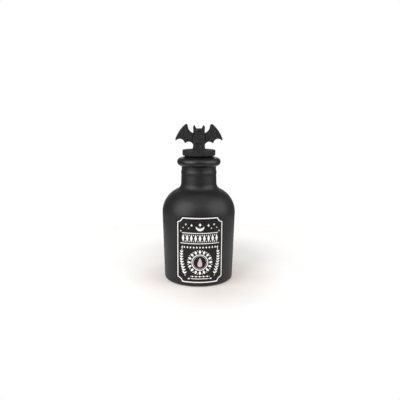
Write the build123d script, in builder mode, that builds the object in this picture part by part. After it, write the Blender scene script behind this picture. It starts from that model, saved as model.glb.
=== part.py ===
"""A small dark glass poison bottle with a front label and a bat-topped stopper.

The bottle stands on the XY plane with its axis on +Z, and its label faces -Y.
All sizes are millimetres. The stopper is drawn seated in the mouth.
"""
import os
from math import atan2, cos, sin, sqrt

from build123d import *

# Bottle
body_radius = 36.0  # the widest ring, at the top of the wall
base_draw = 2.0  # how much the wall draws in towards the foot
base_corner_radius = 2.8
wall_height = 66.6  # height of the widest ring
shoulder_radius = 25.0
wall_thickness = 3.0
floor_thickness = 5.0
floor_corner_radius = 5.0
standing_ring_width = 7.0  # the flat ring that the bottle rests on
push_up_height = 1.8  # the hollow in the middle of the base
push_up_share = 0.75  # how high the hollow still is halfway out

# Neck and lip
bore_radius = 14.0
neck_wall = 3.5  # at the foot of the neck
neck_draw = 0.55  # how much the neck draws in from its foot to the lip, half of it at the ring
neck_fillet_radius = 6.8
neck_height = 25.0  # from the foot of the neck to the top of the lip
ring_drop = 14.1  # from the top of the lip down to the slight ring round the neck
ring_width = 4.0
ring_proud = 0.25
lip_overhang = 4.45  # from the neck out to the edge of the lip
lip_roll_radius = 4.0  # the rolled lip is round in section
mouth_round_radius = 3.0

# Label
label_thickness = 0.2
label_glue = 0.05  # the film stands this far off the glass
label_foot_gap = 0.4  # from the base corner up to the label
label_climb = 3.0  # how far the label's top goes up the shoulder
label_width = 45.2  # straight across, seen from the front
label_scoop_radius = 4.6  # the hollow corners
label_corner_round = 0.5

# Sealing sleeve
plug_depth = 18.5  # the sleeve reaches this far below the lip
sleeve_gap = 1.5  # from the sleeve to the bore, bridged by the fins
sleeve_wall = 3.75
sleeve_floor = 2.0
sleeve_lead = 1.3  # the chamfer at the sleeve's lower end
seat_fin_reach = 1.0  # how far the top fin's rim goes past the bore
seat_fin_edge = 1.3  # thickness of the top fin at its rim
seat_fin_under = 1.0  # from the rim of the top fin down to its root
seat_fin_neck = 0.3  # bare sleeve between the cap and the top fin
fin_count = 3
first_fin_drop = 5.6  # from the top of the lip to the first fin in the bore
last_fin_rise = 4.1  # from the sleeve's lower end to the last fin
fin_root = 2.2
fin_tip = 0.9

# Stopper cap and its spigot
cap_overhang = 2.1  # how far the cap reaches past the bore
cap_thickness = 5.5
cap_gap = 1.8  # the cap's underside stands this far above the lip
cap_low_round = 1.4
cap_top_round = 0.35
bead_proud = 0.7  # the bead round the spigot that holds the sleeve on
bead_width = 2.6
bead_drop = 10.0  # from the cap's underside to the bead

# Bat
bat_span = 46.4
bat_height = 25.1
wing_thickness = 4.6
bat_body_thickness = 7.4
bat_head_thickness = 6.8
wing_edge_round = 0.4
body_edge_round = 1.3
tip_round = 0.6  # corners of the wings and ears
block_ease = 0.5  # corners of the body and head are this much rounder than their edges
tenon_width = 8.0
tenon_thickness = 3.0
tenon_depth = 3.6

# Outlines of the bat's right half, in shares of half its span and of its height
plate_shares = {
    "middle": (0, 0),
    "foot": (0.285, 0),
    "heel": (0.255, 0.102),
    "waist": (0.245, 0.19),
    "inner scallop": (0.405, 0.317),
    "inner point": (0.6, 0.224),
    "outer scallop": (0.755, 0.424),
    "outer point": (0.955, 0.37),
    "wing tip": (1, 0.4),
    "leading edge": (0.892, 0.629),
    "wing top": (0.58, 0.985),
    "wing peak": (0.5, 1),
    "wing inner": (0.463, 0.932),
    "inner edge": (0.385, 0.741),
    "armpit": (0.236, 0.649),
    "temple": (0.25, 0.888),
    "ear tip": (0.19, 0.971),
    "ear root": (0.112, 0.829),
    "crown": (0, 0.829),
}
body_shares = {
    "middle": (0, 0),
    "foot": (0.27, 0),
    "heel": (0.237, 0.102),
    "waist": (0.225, 0.19),
    "belly": (0.25, 0.414),
    "neck": (0.185, 0.668),
    "neck middle": (0, 0.668),
}
head_shares = {
    "chin middle": (0, 0.61),
    "chin": (0.2, 0.61),
    "brow": (0.228, 0.805),
    "brow middle": (0, 0.805),
}

# Clearances
seat_clearance = 0.05  # top fin to the flare of the mouth
fin_clearance = 0.05  # fins to the bore
spigot_clearance = 0.05  # sleeve to spigot
tenon_clearance = 0.05
overrun = 1.0  # cutters pass this far through what they cut


def on_circle(centre, radius, angle):
    """The point of a circle at an angle in radians above the radial direction."""
    return centre[0] + radius * cos(angle), centre[1] + radius * sin(angle)


# The wall is a taper, and the shoulder arc is tangent to its upper end
base_radius = body_radius - base_draw
taper = atan2(base_draw, wall_height - base_corner_radius)
shoulder_centre = (
    body_radius - shoulder_radius * cos(taper),
    wall_height + shoulder_radius * sin(taper),
)
base_corner_centre = (base_radius - base_corner_radius, base_corner_radius)


def neck_fillet_centre(inset, upright, fillet_radius):
    """The centre of the fillet between the shoulder arc and an upright above it."""
    reach = upright + fillet_radius - shoulder_centre[0]
    rise = sqrt((shoulder_radius - inset + fillet_radius) ** 2 - reach**2)
    return upright + fillet_radius, shoulder_centre[1] + rise


# The neck is built up round the bore, from the foot of the neck to the lip
neck_foot_radius = bore_radius + neck_wall
neck_top_radius = neck_foot_radius - neck_draw
neck_ring_radius = neck_foot_radius - neck_draw / 2
neck_foot_height = neck_fillet_centre(0, neck_foot_radius, neck_fillet_radius)[1]
bottle_height = neck_foot_height + neck_height
ring_height = bottle_height - ring_drop
lip_radius = neck_top_radius + lip_overhang
lip_centre = (lip_radius - lip_roll_radius, bottle_height - lip_roll_radius)
mouth_round_centre = (bore_radius + mouth_round_radius, bottle_height - mouth_round_radius)

# The label runs from just over the base corner to the start of the shoulder
label_low = base_corner_radius + label_foot_gap
label_high = wall_height + label_climb

# The stopper is built on the bore and the top of the lip
sleeve_radius = bore_radius - sleeve_gap
sleeve_low = bottle_height - plug_depth
spigot_radius = sleeve_radius - sleeve_wall - spigot_clearance
spigot_low = sleeve_low + sleeve_floor
cap_radius = bore_radius + cap_overhang
cap_low = bottle_height + cap_gap
cap_high = cap_low + cap_thickness
bead_height = cap_low - bead_drop
block_round = body_edge_round + block_ease


def wall_top(inset):
    """Where the wall meets the shoulder arc, at a depth below the outer skin."""
    return on_circle(shoulder_centre, shoulder_radius - inset, -taper)


def wall_at(height, inset):
    """A point of the tapered wall at a height, at a depth below the outer skin."""
    top = wall_top(inset)
    return top[0] - (top[1] - height) * sin(taper) / cos(taper), height


def shoulder_at(height, inset):
    """A point of the shoulder arc at a height, at a depth below the outer skin."""
    rise = height - shoulder_centre[1]
    return shoulder_centre[0] + sqrt((shoulder_radius - inset) ** 2 - rise**2), height


def draw_shoulder(inset, upright, fillet_radius):
    """Draws the shoulder arc and the neck fillet, and returns the fillet's upper end."""
    radius = shoulder_radius - inset
    fillet_centre = neck_fillet_centre(inset, upright, fillet_radius)
    end_angle = atan2(fillet_centre[1] - shoulder_centre[1], fillet_centre[0] - shoulder_centre[0])
    middle = on_circle(shoulder_centre, radius, (end_angle - taper) / 2)
    joint = on_circle(shoulder_centre, radius, end_angle)
    foot = (upright, fillet_centre[1])
    ThreePointArc(wall_top(inset), middle, joint)
    ThreePointArc(joint, on_circle(fillet_centre, -fillet_radius, end_angle / 2), foot)
    return foot


os.makedirs("parts", exist_ok=True)

# Glass bottle: one profile, outside and inside, turned about the axis
with BuildPart() as glass_bottle:
    with BuildSketch(Plane.XZ):
        with BuildLine():
            # Foot and wall
            ring_outer = (base_corner_centre[0], 0)
            ring_inner = (ring_outer[0] - standing_ring_width, 0)
            corner_end = on_circle(base_corner_centre, base_corner_radius, -taper)
            Line(ring_inner, ring_outer)
            RadiusArc(ring_outer, corner_end, -base_corner_radius)
            Line(corner_end, wall_top(0))
            # Shoulder, neck and the slight ring round it
            neck_foot = draw_shoulder(0, neck_foot_radius, neck_fillet_radius)
            ring_low = (neck_ring_radius, ring_height - ring_width / 2)
            ring_high = (neck_top_radius, ring_height + ring_width / 2)
            Line(neck_foot, ring_low)
            ThreePointArc(ring_low, (neck_ring_radius + ring_proud, ring_height), ring_high)
            # Rolled lip
            lip_drop = sqrt(lip_roll_radius**2 - (lip_centre[0] - neck_top_radius) ** 2)
            lip_root = (neck_top_radius, lip_centre[1] - lip_drop)
            lip_top = (lip_centre[0], bottle_height)
            Line(ring_high, lip_root)
            ThreePointArc(lip_root, (lip_radius, lip_centre[1]), lip_top)
            # Mouth and bore
            mouth_top = (mouth_round_centre[0], bottle_height)
            mouth_foot = (bore_radius, mouth_round_centre[1])
            Line(lip_top, mouth_top)
            RadiusArc(mouth_top, mouth_foot, mouth_round_radius)
            bore_foot = draw_shoulder(wall_thickness, bore_radius, neck_fillet_radius + wall_thickness)
            Line(mouth_foot, bore_foot)
            # Inner wall, floor and the push-up under it
            floor_wall = wall_at(floor_thickness + floor_corner_radius, wall_thickness)
            floor_edge = (floor_wall[0] - floor_corner_radius, floor_thickness)
            Line(wall_top(wall_thickness), floor_wall)
            RadiusArc(floor_wall, floor_edge, floor_corner_radius)
            Line(floor_edge, (0, floor_thickness))
            Line((0, floor_thickness), (0, push_up_height))
            push_up_middle = (ring_inner[0] / 2, push_up_height * push_up_share)
            ThreePointArc((0, push_up_height), push_up_middle, ring_inner)
        make_face()
    revolve(axis=Axis.Z)
glass_bottle.part.label = "glass_bottle"
export_step(glass_bottle.part, "parts/glass_bottle.step")

# Front label: a thin band just off the glass, cut to the label's outline
with BuildPart() as front_label:
    film_back = -label_glue
    film_face = -label_glue - label_thickness
    with BuildSketch(Plane.XZ):
        with BuildLine():
            back_top = shoulder_at(label_high, film_back)
            face_top = shoulder_at(label_high, film_face)
            film_middle = (wall_height + label_high) / 2
            Line(wall_at(label_low, film_back), wall_top(film_back))
            ThreePointArc(wall_top(film_back), shoulder_at(film_middle, film_back), back_top)
            Line(back_top, face_top)
            ThreePointArc(face_top, shoulder_at(film_middle, film_face), wall_top(film_face))
            Line(wall_top(film_face), wall_at(label_low, film_face))
            Line(wall_at(label_low, film_face), wall_at(label_low, film_back))
        make_face()
    revolve(axis=Axis.Z)
    label_middle = (label_low + label_high) / 2
    label_tall = label_high - label_low
    with BuildSketch(Plane.XZ):
        with Locations((0, label_middle)):
            Rectangle(label_width, label_tall)
            with GridLocations(label_width, label_tall, 2, 2):
                Circle(label_scoop_radius, mode=Mode.SUBTRACT)
        fillet(vertices(), radius=label_corner_round)
    extrude(amount=body_radius + overrun, mode=Mode.INTERSECT)
front_label.part.label = "front_label"
export_step(front_label.part, "parts/front_label.step")


def draw_spigot(gap):
    """Draws the side and the end of the spigot, grown by a gap, down to the axis."""
    side = spigot_radius + gap
    half_bead = bead_width / 2 + gap
    Line((side, cap_low), (side, bead_height + half_bead))
    ThreePointArc(
        (side, bead_height + half_bead),
        (side + bead_proud, bead_height),
        (side, bead_height - half_bead),
    )
    Line((side, bead_height - half_bead), (side, spigot_low - gap))
    Line((side, spigot_low - gap), (0, spigot_low - gap))


# Stopper cap: the disc and its spigot, with a slot for the bat's tenon
with BuildPart() as stopper_cap:
    with BuildSketch(Plane.XZ):
        with BuildLine():
            rim_high = (cap_radius, cap_high - cap_top_round)
            rim_low = (cap_radius, cap_low + cap_low_round)
            draw_spigot(0)
            Line((0, spigot_low), (0, cap_high))
            Line((0, cap_high), (cap_radius - cap_top_round, cap_high))
            RadiusArc((cap_radius - cap_top_round, cap_high), rim_high, cap_top_round)
            Line(rim_high, rim_low)
            RadiusArc(rim_low, (cap_radius - cap_low_round, cap_low), cap_low_round)
            Line((cap_radius - cap_low_round, cap_low), (spigot_radius, cap_low))
        make_face()
    revolve(axis=Axis.Z)
    slot_length = tenon_width + 2 * tenon_clearance
    slot_width = tenon_thickness + 2 * tenon_clearance
    with BuildSketch(Plane.XY.offset(cap_high + overrun)):
        Rectangle(slot_length, slot_width)
    extrude(amount=-(overrun + tenon_depth + tenon_clearance), mode=Mode.SUBTRACT)
stopper_cap.part.label = "stopper_cap"
export_step(stopper_cap.part, "parts/stopper_cap.step")

# Sealing sleeve: a soft cup over the spigot, with a drooping top fin and thin fins in the bore
with BuildPart() as plug_sleeve:
    seat_radius = bore_radius + seat_fin_reach
    seat_rise = sqrt(
        (mouth_round_radius + seat_clearance) ** 2 - (mouth_round_centre[0] - seat_radius) ** 2
    )
    seat_low = mouth_round_centre[1] + seat_rise
    fin_radius = bore_radius - fin_clearance
    fin_pitch = (plug_depth - first_fin_drop - last_fin_rise) / (fin_count - 1)
    outline = [
        (sleeve_radius, cap_low),
        (sleeve_radius, cap_low - seat_fin_neck),
        (seat_radius, seat_low + seat_fin_edge),
        (seat_radius, seat_low),
        (sleeve_radius, seat_low - seat_fin_under),
    ]
    for fin in range(fin_count):
        fin_height = bottle_height - first_fin_drop - fin * fin_pitch
        outline += [
            (sleeve_radius, fin_height + fin_root / 2),
            (fin_radius, fin_height + fin_tip / 2),
            (fin_radius, fin_height - fin_tip / 2),
            (sleeve_radius, fin_height - fin_root / 2),
        ]
    outline += [
        (sleeve_radius, sleeve_low + sleeve_lead),
        (sleeve_radius - sleeve_lead, sleeve_low),
        (0, sleeve_low),
        (0, spigot_low - spigot_clearance),
    ]
    with BuildSketch(Plane.XZ):
        with BuildLine():
            Polyline(*outline)
            Line(outline[0], (spigot_radius + spigot_clearance, cap_low))
            draw_spigot(spigot_clearance)
        make_face()
    revolve(axis=Axis.Z)
plug_sleeve.part.label = "plug_sleeve"
export_step(plug_sleeve.part, "parts/plug_sleeve.step")


def bat_points(shares):
    """Turns an outline's shares into points of the bat, which stands on the cap."""
    return {
        name: (across * bat_span / 2, cap_high + up * bat_height)
        for name, (across, up) in shares.items()
    }


def upper_corners(corners):
    """The corners of a sketch that are off the centre line and above the cap."""
    return [corner for corner in corners if abs(corner.X) > tip_round and corner.Y > cap_high + tip_round]


def front_and_back_rims(faces):
    """The edges of the front and back faces, without the edges that stand on the cap."""
    across = faces.sort_by(Axis.Y)
    rims = across[0].edges() + across[-1].edges()
    return [edge for edge in rims if edge.center().Z > cap_high + tip_round]


# The bat's body, a rounded block that stands proud of the wings on both sides
with BuildPart() as bat_body:
    at = bat_points(body_shares)
    with BuildSketch(Plane.XZ) as torso:
        with BuildLine():
            Line(at["middle"], at["foot"])
            ThreePointArc(at["foot"], at["heel"], at["waist"])
            ThreePointArc(at["waist"], at["belly"], at["neck"])
            Line(at["neck"], at["neck middle"])
            mirror(about=Plane.YZ)
        make_face()
        fillet(upper_corners(torso.vertices()), radius=block_round)
    extrude(amount=bat_body_thickness / 2, both=True)
    fillet(front_and_back_rims(bat_body.faces()), radius=body_edge_round)

# The bat's head, a smaller block over the body
with BuildPart() as bat_head:
    at = bat_points(head_shares)
    with BuildSketch(Plane.XZ) as head:
        with BuildLine():
            Polyline(at["chin middle"], at["chin"], at["brow"], at["brow middle"])
            mirror(about=Plane.YZ)
        make_face()
        fillet(upper_corners(head.vertices()), radius=block_round)
    extrude(amount=bat_head_thickness / 2, both=True)
    fillet(front_and_back_rims(bat_head.faces()), radius=body_edge_round)

# Bat: a thin plate with wings and ears, the body and head on it, and a tenon below
with BuildPart() as bat_finial:
    at = bat_points(plate_shares)
    with BuildSketch(Plane.XZ) as plate:
        with BuildLine():
            Line(at["middle"], at["foot"])
            ThreePointArc(at["foot"], at["heel"], at["waist"])
            ThreePointArc(at["waist"], at["inner scallop"], at["inner point"])
            ThreePointArc(at["inner point"], at["outer scallop"], at["outer point"])
            Line(at["outer point"], at["wing tip"])
            ThreePointArc(at["wing tip"], at["leading edge"], at["wing top"])
            Polyline(at["wing top"], at["wing peak"], at["wing inner"])
            ThreePointArc(at["wing inner"], at["inner edge"], at["armpit"])
            Polyline(at["armpit"], at["temple"], at["ear tip"], at["ear root"], at["crown"])
            mirror(about=Plane.YZ)
        make_face()
        fillet(upper_corners(plate.vertices()), radius=tip_round)
    extrude(amount=wing_thickness / 2, both=True)
    fillet(front_and_back_rims(bat_finial.faces()), radius=wing_edge_round)
    add(bat_body.part)
    add(bat_head.part)
    with BuildSketch(Plane.XY.offset(cap_high)):
        Rectangle(tenon_width, tenon_thickness)
    extrude(amount=-tenon_depth)
bat_finial.part.label = "bat_finial"
export_step(bat_finial.part, "parts/bat_finial.step")
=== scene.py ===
"""Looks of a small poison bottle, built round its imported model.

The bottle is blown glass under a satin black coat. It carries a printed film label and a
stopper: a soft sleeve on a cast spigot, a cast cap, and a cast bat that stands on the cap.
Lengths in the classes are millimetres; meshes are put down in metres, in the model's frame.
"""
import logging
from dataclasses import dataclass
from enum import Enum
from math import asin, atan2, cos, pi, radians, sin, sqrt, tan

import bpy
import numpy as np
from mathutils import Matrix, Vector
from mathutils.geometry import delaunay_2d_cdt


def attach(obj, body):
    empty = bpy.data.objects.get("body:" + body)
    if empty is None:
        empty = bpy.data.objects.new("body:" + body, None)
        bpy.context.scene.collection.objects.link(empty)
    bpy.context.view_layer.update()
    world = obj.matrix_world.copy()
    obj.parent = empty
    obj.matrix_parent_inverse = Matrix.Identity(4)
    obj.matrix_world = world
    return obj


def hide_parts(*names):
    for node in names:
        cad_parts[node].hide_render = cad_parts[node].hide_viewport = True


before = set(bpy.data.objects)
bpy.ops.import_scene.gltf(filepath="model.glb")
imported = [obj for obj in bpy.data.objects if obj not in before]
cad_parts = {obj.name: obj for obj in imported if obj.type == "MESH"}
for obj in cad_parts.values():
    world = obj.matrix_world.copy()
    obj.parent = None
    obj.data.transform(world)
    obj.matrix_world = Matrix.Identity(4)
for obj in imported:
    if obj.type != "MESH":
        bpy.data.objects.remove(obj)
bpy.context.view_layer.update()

LOG = logging.getLogger("poison_bottle")
MM = 0.001
Point = tuple[float, float] | np.ndarray
# A Noise node's values lie mostly between these two
NOISE_SPAN = (0.3, 0.7)
# Points of a path that lie closer than this, in millimetres, are one point
SAME_POINT = 1e-6
# Points of a triangulation that lie closer than this, in millimetres, are merged
MERGE_MM = 1e-5
# How far from a corner, in millimetres along the path, its two directions are read
CORNER_PROBE = 0.3
# Depths inside an outline are worked out for about this many points at once
BLOCK_POINTS = 800
# What stands for the rise of a level side, so that nothing is divided by zero
LEVEL_RISE = 1e-12


# Colours and nodes


def linear(hex_colour: str, alpha: float = 1.0) -> tuple[float, float, float, float]:
    """Turns an sRGB hex value into the linear colour that the shader takes.

    Args:
        hex_colour: a value such as "#26272a".
        alpha: the fourth number of the colour.

    Returns:
        Red, green, blue and alpha, each from 0 to 1.
    """
    shares = np.array([int(hex_colour[i:i + 2], 16) for i in (1, 3, 5)]) / 255
    made = np.where(shares <= 0.04045, shares / 12.92, ((shares + 0.055) / 1.055) ** 2.4)
    return float(made[0]), float(made[1]), float(made[2]), alpha


def per_metre(feature_mm: float) -> float:
    """The scale of a noise, in features per metre, whose features are this many millimetres."""
    return 1 / (feature_mm * MM)


def add_node(tree: bpy.types.NodeTree, kind: str, settings: dict, links: dict) -> bpy.types.Node:
    """Adds a node, sets it, and links its inputs.

    Args:
        tree: the node tree that it goes into.
        kind: Blender's name of the node type.
        settings: attributes by name, and values of input sockets by name or number.
        links: output sockets by the name or number of the input that each feeds.

    Returns:
        The new node.
    """
    node = tree.nodes.new(kind)
    for name, value in settings.items():
        if isinstance(name, str) and hasattr(node, name):
            setattr(node, name, value)
        else:
            node.inputs[name].default_value = value
    for name, socket in links.items():
        tree.links.new(socket, node.inputs[name])
    return node


def new_material(name: str) -> bpy.types.Material:
    """Makes a material with an empty node tree.

    Args:
        name: the material's name.

    Returns:
        The material.
    """
    material = bpy.data.materials.new(name)
    material.use_nodes = True
    material.node_tree.nodes.clear()
    return material


# Finishes


@dataclass(frozen=True)
class Finish:
    """An opaque finish: two shades in soft patches, and a fine grain that scatters light.

    Attributes:
        name: the material's name.
        dark: the darker shade, sRGB.
        light: the lighter shade, sRGB.
        patch_mm: size of the patches of the two shades.
        roughness: the smoother and the duller roughness of the patches.
        grain_mm: spacing of the grain.
        grain_depth_mm: depth of the grain.
        wave_mm: spacing of the slow unevenness under the grain.
        wave_depth_mm: depth of the slow unevenness.
        ior: index of refraction of the surface layer.
    """

    name: str
    dark: str
    light: str
    patch_mm: float
    roughness: tuple[float, float]
    grain_mm: float
    grain_depth_mm: float
    wave_mm: float
    wave_depth_mm: float
    ior: float = 1.5

    def make(self) -> bpy.types.Material:
        """Builds the node tree.

        Returns:
            The material.
        """
        material = new_material(self.name)
        tree = material.node_tree
        place = add_node(tree, "ShaderNodeTexCoord", {}, {}).outputs["Object"]
        patch = add_node(tree, "ShaderNodeTexNoise",
                         {"Scale": per_metre(self.patch_mm), "Detail": 4.0, "Roughness": 0.6},
                         {"Vector": place})
        shade = add_node(tree, "ShaderNodeMix",
                         {"data_type": "RGBA", 6: linear(self.dark), 7: linear(self.light)},
                         {0: self.spread(tree, patch.outputs["Fac"], 0, 1)})
        dull = self.spread(tree, patch.outputs["Fac"], *self.roughness)
        grain = add_node(tree, "ShaderNodeTexNoise",
                         {"Scale": per_metre(self.grain_mm), "Detail": 2.0}, {"Vector": place})
        wave = add_node(tree, "ShaderNodeTexNoise",
                        {"Scale": per_metre(self.wave_mm), "Detail": 1.0}, {"Vector": place})
        slow = add_node(tree, "ShaderNodeBump",
                        {"Strength": 1.0, "Distance": self.wave_depth_mm * MM},
                        {"Height": wave.outputs["Fac"]})
        fine = add_node(tree, "ShaderNodeBump",
                        {"Strength": 1.0, "Distance": self.grain_depth_mm * MM},
                        {"Height": grain.outputs["Fac"], "Normal": slow.outputs["Normal"]})
        shader = add_node(tree, "ShaderNodeBsdfPrincipled", {"IOR": self.ior},
                          {"Base Color": shade.outputs[2], "Roughness": dull,
                           "Normal": fine.outputs["Normal"]})
        add_node(tree, "ShaderNodeOutputMaterial", {}, {"Surface": shader.outputs["BSDF"]})
        return material

    @staticmethod
    def spread(tree: bpy.types.NodeTree, noise: bpy.types.NodeSocket, low: float,
               high: float) -> bpy.types.NodeSocket:
        """Stretches the middle of a noise to a range.

        Args:
            tree: the node tree.
            noise: the noise.
            low: the value at and below the low end of the noise's span.
            high: the value at and above its high end.

        Returns:
            The stretched value.
        """
        node = add_node(tree, "ShaderNodeMapRange",
                        {"From Min": NOISE_SPAN[0], "From Max": NOISE_SPAN[1],
                         "To Min": low, "To Max": high}, {"Value": noise})
        return node.outputs["Result"]


# Sprayed and stoved lacquer on glass: an even black with a soft sheen and a faint orange peel
SATIN_COAT = Finish("satin_black_coat", "#161617", "#1b1b1c", 9.0, (0.40, 0.46),
                    0.8, 0.006, 14.0, 0.10, ior=1.45)
# The same lacquer on the lip, where it lies thicker and handling has smoothed it
LIP_COAT = Finish("satin_black_lip", "#161617", "#1b1b1c", 7.0, (0.31, 0.37),
                  0.8, 0.005, 9.0, 0.08, ior=1.5)
# The uncoated inside of the glass: black behind a clear, fire-polished surface
BARE_GLASS = Finish("bare_glass_inside", "#0c0d0d", "#111212", 12.0, (0.06, 0.10),
                    3.0, 0.004, 10.0, 0.10, ior=1.52)
# Printed polypropylene film, nearly black with a slight purple cast and a low sheen
LABEL_FILM = Finish("printed_film", "#131113", "#181518", 5.0, (0.44, 0.52),
                    0.5, 0.004, 9.0, 0.03, ior=1.34)
# Screen-printed ink: solid, a little raised, with a faint mottle
WHITE_INK = Finish("white_ink", "#f3f1f0", "#fcfbfb", 1.2, (0.50, 0.60),
                   0.4, 0.003, 4.0, 0.01)
ROSE_INK = Finish("rose_ink", "#cfaeb2", "#dfc2c5", 1.2, (0.50, 0.60),
                  0.4, 0.003, 4.0, 0.01)
# Moulded thermoplastic rubber: flat black that drinks the light
SLEEVE_RUBBER = Finish("sleeve_rubber", "#070708", "#0d0d0e", 4.0, (0.58, 0.70),
                       0.4, 0.010, 6.0, 0.03, ior=1.33)
# Cast polyresin with a stone-like grain. The real grain is about 0.3 mm; here its patches
# are drawn at 2 mm, so that the mottle still shows from a step away.
CAST_RESIN = Finish("cast_resin", "#030303", "#373636", 2.0, (0.56, 0.80),
                    0.9, 0.20, 5.0, 0.25, ior=1.34)


# Curves in a plane


def arc(centre: Point, radius: float, start: float, stop: float, count: int) -> np.ndarray:
    """Points of a circle: centre plus radius times (cosine, sine) of evenly spaced angles.

    Args:
        centre: the circle's centre.
        radius: its radius.
        start: the first angle, in radians.
        stop: the last angle.
        count: how many points, both ends included.

    Returns:
        An array of points.
    """
    angle = np.linspace(start, stop, count)
    return np.array(centre) + radius * np.column_stack((np.cos(angle), np.sin(angle)))


def run(start: Point, stop: Point, count: int) -> np.ndarray:
    """Evenly spaced points of a straight run, both ends included."""
    return np.linspace(np.array(start, float), np.array(stop, float), count)


def arc_through(first: Point, middle: Point, last: Point, count: int) -> np.ndarray:
    """Points of the circle through three points.

    The centre is as far from the first point as from the other two, which gives two
    straight-line equations in its coordinates.

    Args:
        first: where the arc starts.
        middle: a point on it.
        last: where it ends.
        count: how many points, both ends included.

    Returns:
        An array of points.
    """
    points = np.array((first, middle, last), float)
    squares = (points ** 2).sum(1)
    centre = np.linalg.solve(2 * (points[1:] - points[0]), squares[1:] - squares[0])
    away = points - centre
    swept = np.unwrap(np.arctan2(away[:, 1], away[:, 0]))
    return arc(centre, float(np.linalg.norm(away[0])), swept[0], swept[2], count)


def chain(*runs: np.ndarray) -> np.ndarray:
    """Joins runs end to end and drops the points that repeat."""
    path = np.concatenate(runs)
    step = np.linalg.norm(np.diff(path, axis=0), axis=1)
    return path[np.concatenate(([True], step > SAME_POINT))]


def mirrored(right: np.ndarray) -> np.ndarray:
    """Closes the right half of an outline with its mirror image, counter-clockwise."""
    return chain(right, (right * (-1, 1))[::-1])[:-1]


def lengths(path: np.ndarray) -> np.ndarray:
    """The distance along a path to each of its points."""
    return np.concatenate(([0.0], np.cumsum(np.linalg.norm(np.diff(path, axis=0), axis=1))))


def along(path: np.ndarray, places: np.ndarray) -> np.ndarray:
    """The points of a path at distances along it."""
    return np.column_stack([np.interp(places, lengths(path), values) for values in path.T])


def even(path: np.ndarray, step: float) -> np.ndarray:
    """A path with its points spread evenly, about a step apart, both ends included."""
    total = lengths(path)[-1]
    return along(path, np.linspace(0, total, int(total / step)))


def normals(path: np.ndarray, closed: bool) -> np.ndarray:
    """The direction to the left of a path at each of its points.

    The path's own direction is the difference of the points before and after; it is made
    one long and turned by a right angle.

    Args:
        path: the path.
        closed: whether its last point is followed by its first.

    Returns:
        An array of unit vectors.
    """
    if closed:
        heading = np.roll(path, -1, 0) - np.roll(path, 1, 0)
    else:
        heading = np.gradient(path, axis=0)
    heading /= np.linalg.norm(heading, axis=1, keepdims=True)
    return np.column_stack((-heading[:, 1], heading[:, 0]))


def soften(path: np.ndarray, corners: np.ndarray, radius: float) -> np.ndarray:
    """Rounds corners of a finely divided path.

    Round each corner, the stretch of path within the tangent length of a circle of that
    radius is replaced by the curve (1-t)^2 a + 2t(1-t) c + t^2 b between its ends a and b,
    drawn towards the corner c.

    Args:
        path: the path.
        corners: the corners, as points on it.
        radius: the radius of each round.

    Returns:
        The path with its corners rounded, with the same number of points.
    """
    made = path.copy()
    run_length = lengths(path)
    for corner in corners:
        place = run_length[np.argmin(np.linalg.norm(path - corner, axis=1))]
        sides = np.array((-1, 1))
        before, after = along(path, place + CORNER_PROBE * sides) - corner
        bend = np.clip(before @ after / np.linalg.norm(before) / np.linalg.norm(after), -1, 1)
        reach = radius / tan(np.arccos(bend) / 2)
        share = ((run_length - place + reach) / (2 * reach))[:, None]
        near, far = along(path, place + reach * sides)
        curve = (1 - share) ** 2 * near + 2 * share * (1 - share) * corner + share ** 2 * far
        made = np.where((share > 0) & (share < 1), curve, made)
    return made


# Meshes


def put_down(name: str, points: np.ndarray, faces: list[np.ndarray],
             materials: list[bpy.types.Material], sharp_deg: float = 40.0,
             slots: np.ndarray | None = None) -> bpy.types.Object:
    """Makes an object from points in millimetres and faces.

    Args:
        name: the object's name.
        points: one row of x, y, z per point.
        faces: arrays of point numbers, one row per face; each array has its own face size.
        materials: the materials, in slot order.
        sharp_deg: edges that turn more than this are drawn sharp.
        slots: the material slot of each face, in the order of the arrays.

    Returns:
        The object, linked into the scene.
    """
    mesh = bpy.data.meshes.new(name)
    corners = np.concatenate([block.ravel() for block in faces]).astype(np.int32)
    sizes = np.concatenate([np.full(len(block), block.shape[1]) for block in faces])
    starts = np.concatenate(([0], np.cumsum(sizes)[:-1])).astype(np.int32)
    mesh.vertices.add(len(points))
    mesh.vertices.foreach_set("co", (points * MM).astype(np.float32).ravel())
    mesh.loops.add(len(corners))
    mesh.loops.foreach_set("vertex_index", corners)
    mesh.polygons.add(len(sizes))
    mesh.polygons.foreach_set("loop_start", starts)
    mesh.polygons.foreach_set("use_smooth", np.ones(len(sizes), bool))
    for material in materials:
        mesh.materials.append(material)
    if slots is not None:
        mesh.polygons.foreach_set("material_index", slots.astype(np.int32))
    mesh.update(calc_edges=True)
    mesh.validate()
    mesh.set_sharp_from_angle(angle=radians(sharp_deg))
    made = bpy.data.objects.new(name, mesh)
    bpy.context.scene.collection.objects.link(made)
    return made


def bands(rings: int, segments: int) -> np.ndarray:
    """Quads between rings whose points are numbered ring by ring.

    Args:
        rings: how many rings.
        segments: how many points a ring has.

    Returns:
        The quads, facing outwards where the rings run upwards.
    """
    row, column = np.meshgrid(np.arange(rings - 1), np.arange(segments), indexing="ij")
    here, beside = row * segments + column, row * segments + (column + 1) % segments
    return np.stack((here, beside, beside + segments, here + segments), -1).reshape(-1, 4)


def fan(tip: int, first: int, segments: int) -> np.ndarray:
    """Triangles from a tip to a ring, by the numbers of the tip and of the ring's first point."""
    ring = np.arange(segments)
    return np.column_stack((np.full(segments, tip), first + ring, first + (ring + 1) % segments))


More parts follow.
